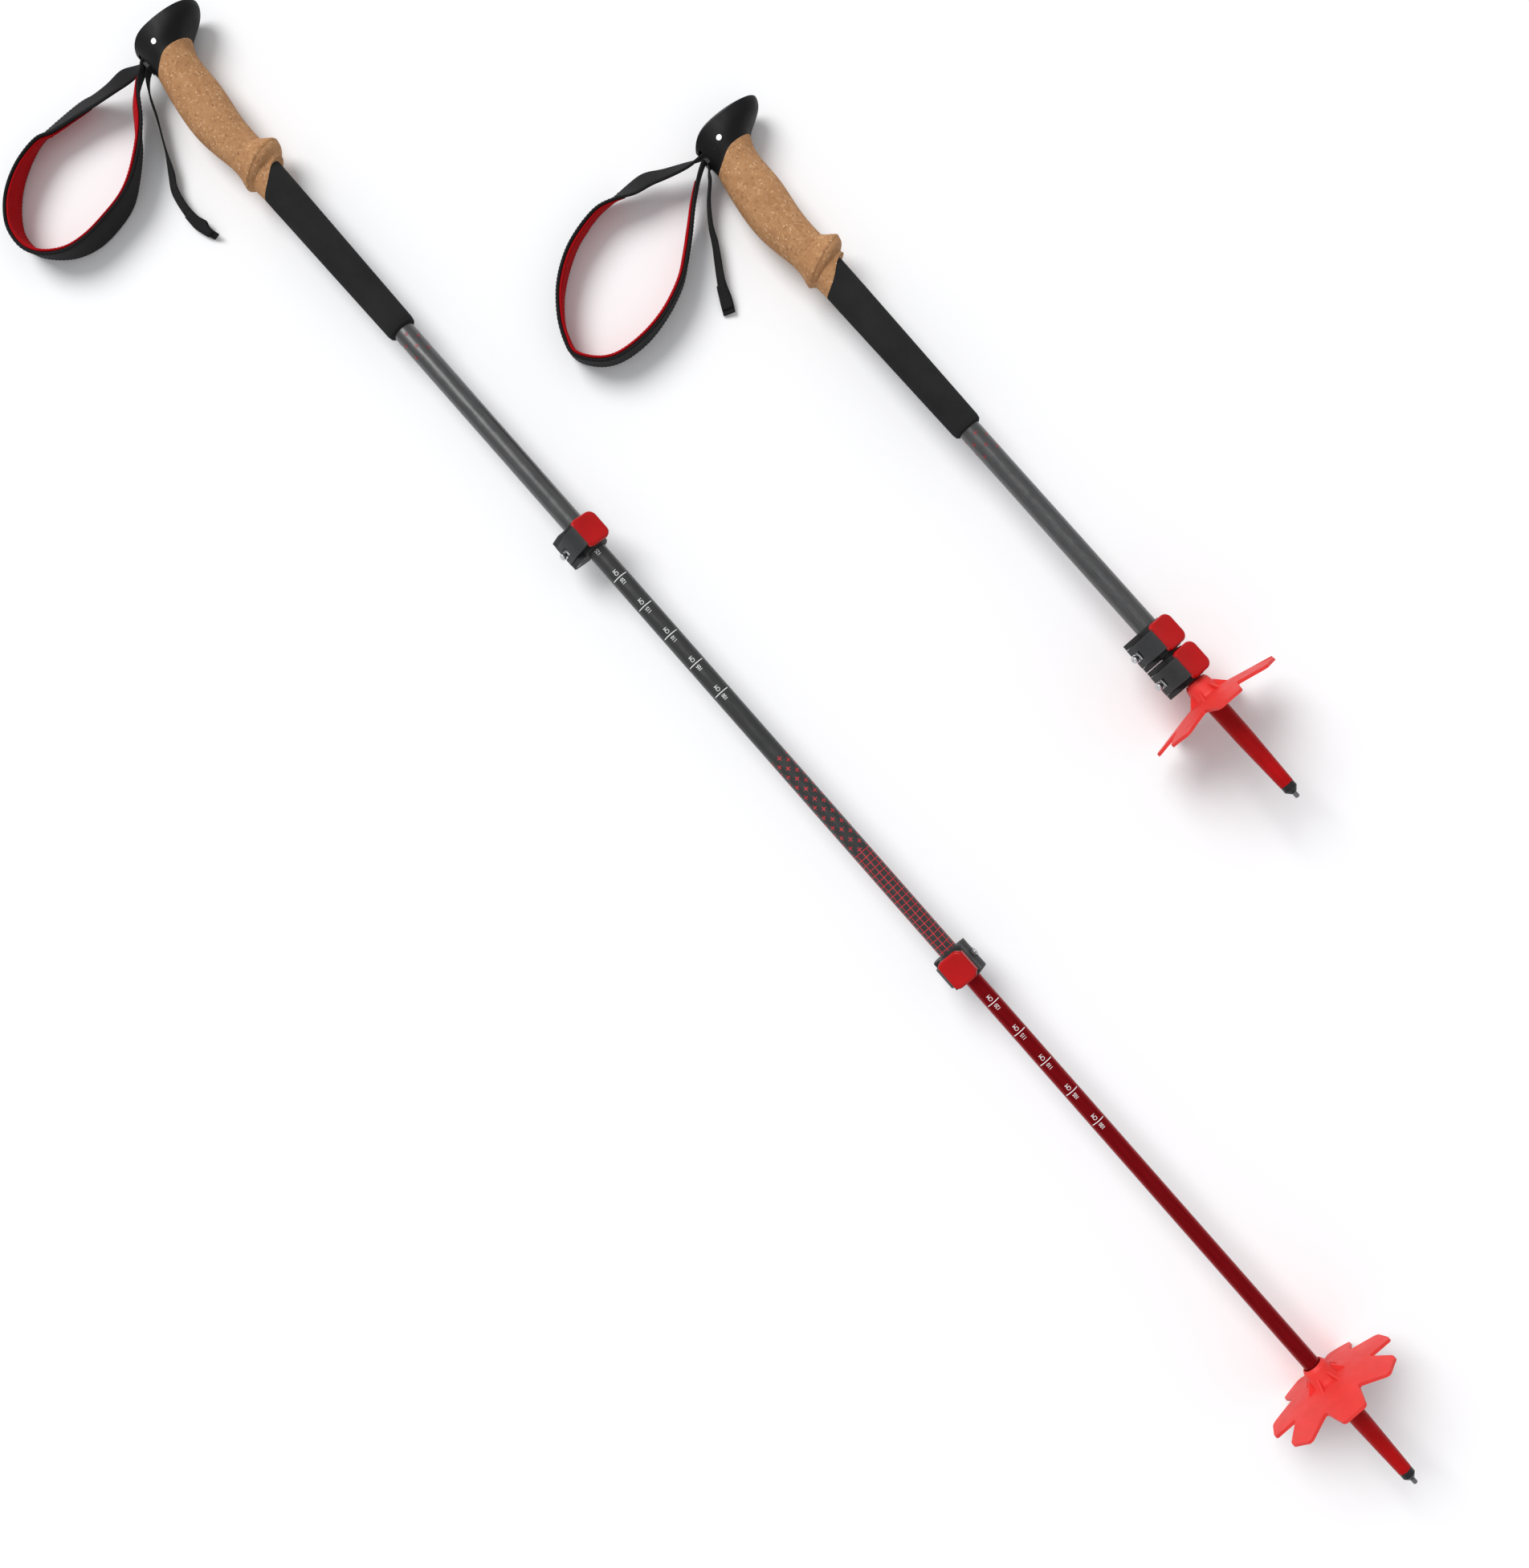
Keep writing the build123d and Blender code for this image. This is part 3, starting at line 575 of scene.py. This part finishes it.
# ------------------------------------------------------------------ wrist straps
# each row is a place on the lower edge and one on the upper edge, in the pole's frame on the floor
LOOPS = {
    "left": ((13.2, -7.0, 12.6, 13.2, -7.0, 23.0), (12.4, -12.5, 14.0, 14.4, -12.5, 24.2),
             (11.0, -18.0, 17.4, 19.6, -18.0, 23.6), (8.2, -27.0, 19.6, 20.4, -27.0, 23.0),
             (6.0, -40.0, 14.8, 18.4, -40.0, 23.6), (0.9, -52.0, 7.2, 15.6, -53.2, 22.4),
             (-3.5, -63.0, 3.0, 12.2, -66.0, 20.4), (-5.2, -85.0, 0.9, 8.2, -87.0, 20.4),
             (-4.2, -101.0, 0.5, 5.0, -99.0, 22.6), (2.8, -118.0, 0.4, 8.2, -117.0, 23.8),
             (13.6, -134.0, 0.4, 15.4, -132.8, 24.2), (26.8, -146.2, 0.4, 25.4, -144.9, 24.2),
             (39.4, -152.8, 0.4, 38.4, -153.0, 24.2), (53.0, -152.6, 0.4, 54.1, -154.4, 24.0),
             (64.6, -145.0, 0.4, 67.0, -147.4, 23.8), (74.8, -132.2, 0.4, 76.4, -133.0, 24.2),
             (79.7, -116.2, 0.4, 78.9, -116.4, 24.2), (78.9, -98.8, 0.4, 77.6, -98.2, 24.2),
             (74.6, -82.4, 0.4, 74.6, -80.2, 24.2), (65.4, -68.9, 0.4, 68.0, -65.2, 23.8),
             (50.0, -52.3, 0.8, 55.6, -48.0, 23.4), (38.0, -43.2, 3.4, 43.8, -36.0, 23.2),
             (27.4, -33.4, 8.6, 30.2, -26.4, 23.4), (20.8, -21.0, 11.4, 21.4, -18.4, 23.6),
             (17.8, -12.5, 12.4, 17.8, -12.2, 23.2), (16.6, -7.0, 12.6, 16.6, -7.0, 23.0)),
    "right": ((13.2, -7.0, 12.6, 13.2, -7.0, 23.0), (12.0, -13.0, 13.4, 13.4, -13.0, 24.0),
              (7.2, -22.0, 14.2, 13.4, -24.0, 24.2), (0.6, -35.0, 13.6, 10.2, -37.0, 24.0),
              (-6.6, -47.0, 12.0, 6.2, -48.4, 22.6), (-9.0, -60.0, 8.0, 3.2, -61.0, 23.0),
              (-10.2, -74.0, 2.2, -3.4, -74.0, 24.0), (-10.4, -88.0, 0.5, -6.6, -87.0, 24.2),
              (-6.0, -107.0, 0.4, -3.6, -105.8, 24.2), (2.6, -124.0, 0.4, 2.8, -122.2, 24.2),
              (15.6, -141.2, 0.4, 14.6, -138.6, 24.2), (31.0, -154.0, 0.4, 30.4, -151.6, 24.2),
              (43.4, -159.2, 0.4, 44.5, -158.7, 24.2), (56.3, -159.9, 0.4, 57.0, -161.4, 24.2),
              (68.9, -152.0, 0.4, 70.6, -152.6, 24.2), (76.9, -138.4, 0.4, 78.6, -139.0, 24.2),
              (79.0, -117.6, 0.4, 80.4, -117.4, 24.2), (74.8, -96.2, 0.4, 77.0, -95.4, 24.2),
              (66.4, -75.8, 0.4, 68.0, -74.0, 24.2), (55.9, -61.5, 0.6, 56.6, -58.6, 24.2),
              (44.4, -47.6, 2.8, 45.4, -46.0, 24.0), (33.2, -35.0, 7.6, 33.8, -33.8, 23.8),
              (24.0, -22.6, 11.0, 24.2, -22.0, 23.6), (18.4, -13.0, 12.4, 18.4, -13.0, 23.2),
              (16.6, -7.0, 12.6, 16.6, -7.0, 23.0)),
}
PADDED = {"left": (0.155, 0.955), "right": (0.175, 0.95)}      # shares of the loop that carry the liner
TAILS = {
    "left": ((20.4, -12.0, 12.6, 20.4, -12.0, 21.6), (23.2, -17.5, 10.6, 24.0, -16.8, 20.4),
             (29.6, -24.4, 6.4, 31.6, -22.4, 15.4), (43.0, -31.0, 3.2, 44.6, -28.8, 12.2),
             (59.6, -39.8, 1.2, 61.0, -37.6, 10.4), (74.0, -49.6, 0.6, 77.0, -44.4, 7.8),
             (84.4, -55.8, 0.6, 86.0, -49.8, 6.6), (97.4, -58.6, 0.6, 98.4, -52.6, 6.0),
             (108.0, -59.4, 0.7, 109.0, -52.4, 5.4), (113.6, -59.6, 0.8, 115.6, -50.2, 4.6),
             (119.0, -57.6, 0.8, 120.6, -51.4, 5.0), (127.0, -54.4, 0.9, 128.0, -49.8, 4.8)),
    "right": ((20.4, -10.0, 12.6, 20.4, -10.0, 21.6), (23.4, -14.0, 11.0, 24.2, -13.4, 20.4),
              (27.4, -17.6, 8.0, 29.0, -16.0, 17.4), (36.0, -26.6, 4.4, 37.6, -24.6, 13.6),
              (48.0, -35.6, 2.2, 49.6, -33.2, 11.4), (58.0, -41.4, 1.0, 60.0, -38.0, 9.6),
              (68.4, -48.4, 0.8, 70.4, -44.0, 8.6), (80.0, -56.0, 0.7, 82.4, -51.0, 7.6),
              (90.0, -62.4, 0.7, 93.4, -55.0, 5.0), (98.4, -67.0, 0.8, 101.8, -59.4, 2.8)),
}


LOOP_STEPS, TAIL_STEPS = 150, 60
# depths of a strap's two faces under the line of its edges
WEBBING_DEPTHS, LINER_DEPTHS, TAIL_DEPTHS, FOLD_DEPTHS = (0.0, 2.2), (2.2, 3.9), (-1.1, 0.1), (-2.3, -1.1)
LINER_CROWN, LINER_INSET, LINER_EASE = 0.7, 0.8, 0.10
SEAM_LINES, LINER_LINES, LINER_SEAM_DEPTH = (1.9, -1.9), (2.6, -2.6), 4.2
SEAM_STOPS_SHORT = 0.09                                # share of the loop without liner stitching, at each end
FOLD, FOLD_INSET = (0.80, 0.97), 0.3


def build_straps():
    """For each pole the webbing loop, its padded liner, their stitching, and the tail with its sewn fold."""
    black = woven("webbing_black", (0.0080, 0.0080, 0.0085), (0.022, 0.022, 0.023), 1.7, 1.3, 0.00016, 0.05)
    red = woven("liner_red", (0.30, 0.0015, 0.0035), (0.44, 0.006, 0.010), 1.1, 1.1, 0.00010, 0.0)
    thread = moulded("thread_black", (0.02, 0.02, 0.021), 0.7, specular=0.2)
    red_thread = moulded("thread_red", (0.30, 0.010, 0.014), 0.7, specular=0.2)
    for side in SIDES:
        body, edges, padded = f"{side}_upper", LOOPS[side], PADDED[side]
        webbing = strap(f"{side}_webbing", side, edges, LOOP_STEPS, *WEBBING_DEPTHS, 0.0, black, body)
        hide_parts(f"{side}_strap_webbing")
        liner = strap(f"{side}_padding", side, edges, LOOP_STEPS, *LINER_DEPTHS, LINER_CROWN, red, body,
                      padded, LINER_INSET, LINER_EASE)
        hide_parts(f"{side}_strap_liner")
        seam = stitches(f"{side}_edge_stitching", side, edges, LOOP_STEPS, SEAM_LINES, 0.0, thread, body, padded)
        sewn = (padded[0] + SEAM_STOPS_SHORT, padded[1] - SEAM_STOPS_SHORT)
        inner = stitches(f"{side}_liner_stitching", side, edges, LOOP_STEPS, LINER_LINES, LINER_SEAM_DEPTH,
                         red_thread, body, sewn)
        tail = strap(f"{side}_tail", side, TAILS[side], TAIL_STEPS, *TAIL_DEPTHS, 0.0, black, body)
        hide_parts(f"{side}_strap_tail")
        fold = strap(f"{side}_tail_fold", side, TAILS[side], TAIL_STEPS, *FOLD_DEPTHS, 0.0, black, body,
                     FOLD, FOLD_INSET)


# ------------------------------------------------------------------ printed marks, thin raised ink on the tubes
INK, ROOT = 0.05, 0.1                                  # how far ink stands out of a tube and goes into it
INK_STEP = 0.14                                        # radians between the corners of a curved patch
LINE, GRID_LINE = 0.5, 0.45                            # widths of printed lines
UPPER_R, MIDDLE_R, LOWER_R = 7.5, 6.5, 5.6
MARK_PITCH, TICK_REACH = 25.0, 0.9                     # mm between marks, and radians a tick goes round
NUMBER_AHEAD, UNIT_BACK = 3.7, 3.6
LETTER_SIZE, LETTER_NARROW, LETTER_SLICE = 4.0, 0.72, 0.4
MARKS = ("120", "115", "110", "105", "100")
UPPER_CROSSES_AT, MIDDLE_CROSSES_AT, GRID_ENDS_AT = 271.8, 641.0, 805.0
HIDDEN_MARK_AT, MIDDLE_MARKS_AT, LOWER_MARKS_AT = 458.9, 484.1, 848.6
PUSHED_IN = {"left": (0.0, 0.0), "right": (-346.0, -669.0)}    # shift of the middle and lower tubes' prints


def ink(side, radius, start, end, angle_from, angle_to, vertices, faces):
    """One patch of ink: start and end along the pole in mm, angles round it from the top in radians."""
    place = lay(side)
    steps = max(1, int(abs(angle_to - angle_from) / INK_STEP))
    first = len(vertices)
    for step in range(steps + 1):
        angle = angle_from + (angle_to - angle_from) * step / steps
        for x, r in ((start, radius - ROOT), (end, radius - ROOT), (end, radius + INK), (start, radius + INK)):
            point = Vector((x, math.sin(angle) * r, math.cos(angle) * r))
            vertices.append(place @ (point * MM))
    for step in range(steps):
        a, b = first + step * 4, first + (step + 1) * 4
        for corner in range(4):
            other = (corner + 1) % 4
            faces.append((a + corner, a + other, b + other, b + corner))
    faces.append((first + 3, first + 2, first + 1, first))
    last = first + steps * 4
    faces.append((last, last + 1, last + 2, last + 3))


def crosses(name, side, radius, start, rows, pitch, per_ring, grid_end, arm, colour, body):
    """Staggered plus signs in rings round a tube, running into a square grid where grid_end is given."""
    vertices, faces = [], []
    half = LINE / 2
    turn = 2 * math.pi / per_ring
    for row in range(rows):
        x = start + row * pitch
        for number in range(per_ring):
            angle = number * turn + (turn / 2 if row % 2 else 0)
            ink(side, radius, x - arm, x + arm, angle - half / radius, angle + half / radius, vertices, faces)
            for sign in (-1, 1):
                inner, outer = angle + sign * half / radius, angle + sign * arm / radius
                ink(side, radius, x - half, x + half, inner, outer, vertices, faces)
    if grid_end:
        x = start + (rows - 0.5) * pitch
        thin = GRID_LINE / 2
        edge = thin / radius
        for number in range(2 * per_ring):
            angle = number * turn / 2
            ink(side, radius, x, grid_end, angle - edge, angle + edge, vertices, faces)
        while x < grid_end:
            for number in range(2 * per_ring):
                angle = number * turn / 2
                ink(side, radius, x - thin, x + thin, angle + edge, angle + turn / 2 - edge, vertices, faces)
            x += pitch
    piece = piece_from(name, vertices, faces, colour, body, smooth=False)
    fix_normals(piece)
    return piece


def marking(side, radius, at, label, vertices, faces, tick=True):
    """A tick across the tube, its number on the tip side and the unit on the grip side; or the number alone."""
    if tick:
        ink(side, radius, at - LINE / 2, at + LINE / 2, -TICK_REACH, TICK_REACH, vertices, faces)
    letters(side, radius, at + NUMBER_AHEAD, label, vertices, faces)
    if tick:
        letters(side, radius, at - UNIT_BACK, "CM", vertices, faces)


def letters(side, radius, centre, text, vertices, faces):
    """Raised letters bent round a tube, cut into thin slices first so that they follow it."""
    curve = bpy.data.curves.new("letters", "FONT")
    curve.body = text
    curve.size, curve.align_x, curve.align_y = LETTER_SIZE, "CENTER", "CENTER"
    curve.resolution_u, curve.extrude = 2, 0.05
    holder = bpy.data.objects.new("letters", curve)
    bpy.context.collection.objects.link(holder)
    mesh = bpy.data.meshes.new_from_object(holder)
    flat = bmesh.new()
    flat.from_mesh(mesh)
    for step in range(-6, 7):
        parts = flat.verts[:] + flat.edges[:] + flat.faces[:]
        bmesh.ops.bisect_plane(flat, geom=parts, plane_co=(0, LETTER_SLICE * step, 0), plane_no=(0, 1, 0))
    flat.to_mesh(mesh)
    flat.free()
    place = lay(side)
    first = len(vertices)
    for vertex in mesh.vertices:
        along, up, out = vertex.co
        angle = -up / radius
        r = radius + (INK if out > 0 else -ROOT)
        point = Vector((centre - along * LETTER_NARROW, math.sin(angle) * r, math.cos(angle) * r))
        vertices.append(place @ (point * MM))
    for polygon in mesh.polygons:
        faces.append(tuple(first + v for v in polygon.vertices))
    bpy.data.objects.remove(holder)
    bpy.data.curves.remove(curve)
    bpy.data.meshes.remove(mesh)


def scale_marks(name, side, radius, first_at, colour, body, hidden_at=None):
    """The length marks of one tube; hidden_at is the place of a mark whose tick is inside the lock."""
    vertices, faces = [], []
    for number, label in enumerate(MARKS):
        marking(side, radius, first_at + MARK_PITCH * number, label, vertices, faces)
    if hidden_at:
        marking(side, radius, hidden_at, "125", vertices, faces, tick=False)
    return piece_from(name, vertices, faces, colour, body, smooth=False)


def printed(name, colour, rough, grain, dark, light):
    """Ink with a slightly uneven tone; dark and light are each a place on the ramp and its colour."""
    material, nodes, links, shader = new_material(name, colour, rough)
    cloud = noise(nodes, links, coordinates(nodes, links, (1, 1, 1)), grain, 3)
    links.new(ramp(nodes, links, cloud, (dark, light)), shader.inputs["Base Color"])
    return material


def build_prints():
    """Crosses on the upper tube, crosses and a grid on the middle tube, and the two scales."""
    white = printed("ink_white", (0.86, 0.87, 0.87), 0.5, 900, (0.3, (0.74, 0.75, 0.75)), (0.6, (0.9, 0.9, 0.9)))
    red = printed("ink_red", (0.5, 0.012, 0.02), 0.45, 700, (0.3, (0.42, 0.008, 0.016)),
                  (0.65, (0.66, 0.022, 0.035)))
    faded = printed("ink_dark_red", (0.25, 0.01, 0.015), 0.45, 700, (0.3, (0.20, 0.008, 0.012)),
                    (0.65, (0.34, 0.014, 0.02)))
    for side in SIDES:
        middle, lower = PUSHED_IN[side]
        upper = crosses(f"{side}_upper_crosses", side, UPPER_R, UPPER_CROSSES_AT, 4, 5.12, 4, None, 1.5, faded,
                        f"{side}_upper")
        grid = crosses(f"{side}_middle_crosses", side, MIDDLE_R, MIDDLE_CROSSES_AT + middle, 19, 4.33, 5,
                       GRID_ENDS_AT + middle, 1.7, red, f"{side}_middle")
        marks = scale_marks(f"{side}_middle_scale", side, MIDDLE_R, MIDDLE_MARKS_AT + middle, white,
                            f"{side}_middle", HIDDEN_MARK_AT + middle)
        marks = scale_marks(f"{side}_lower_scale", side, LOWER_R, LOWER_MARKS_AT + lower, white, f"{side}_lower")


add_camera()
add_stage()
build_materials()
build_lips()
build_straps()
build_prints()
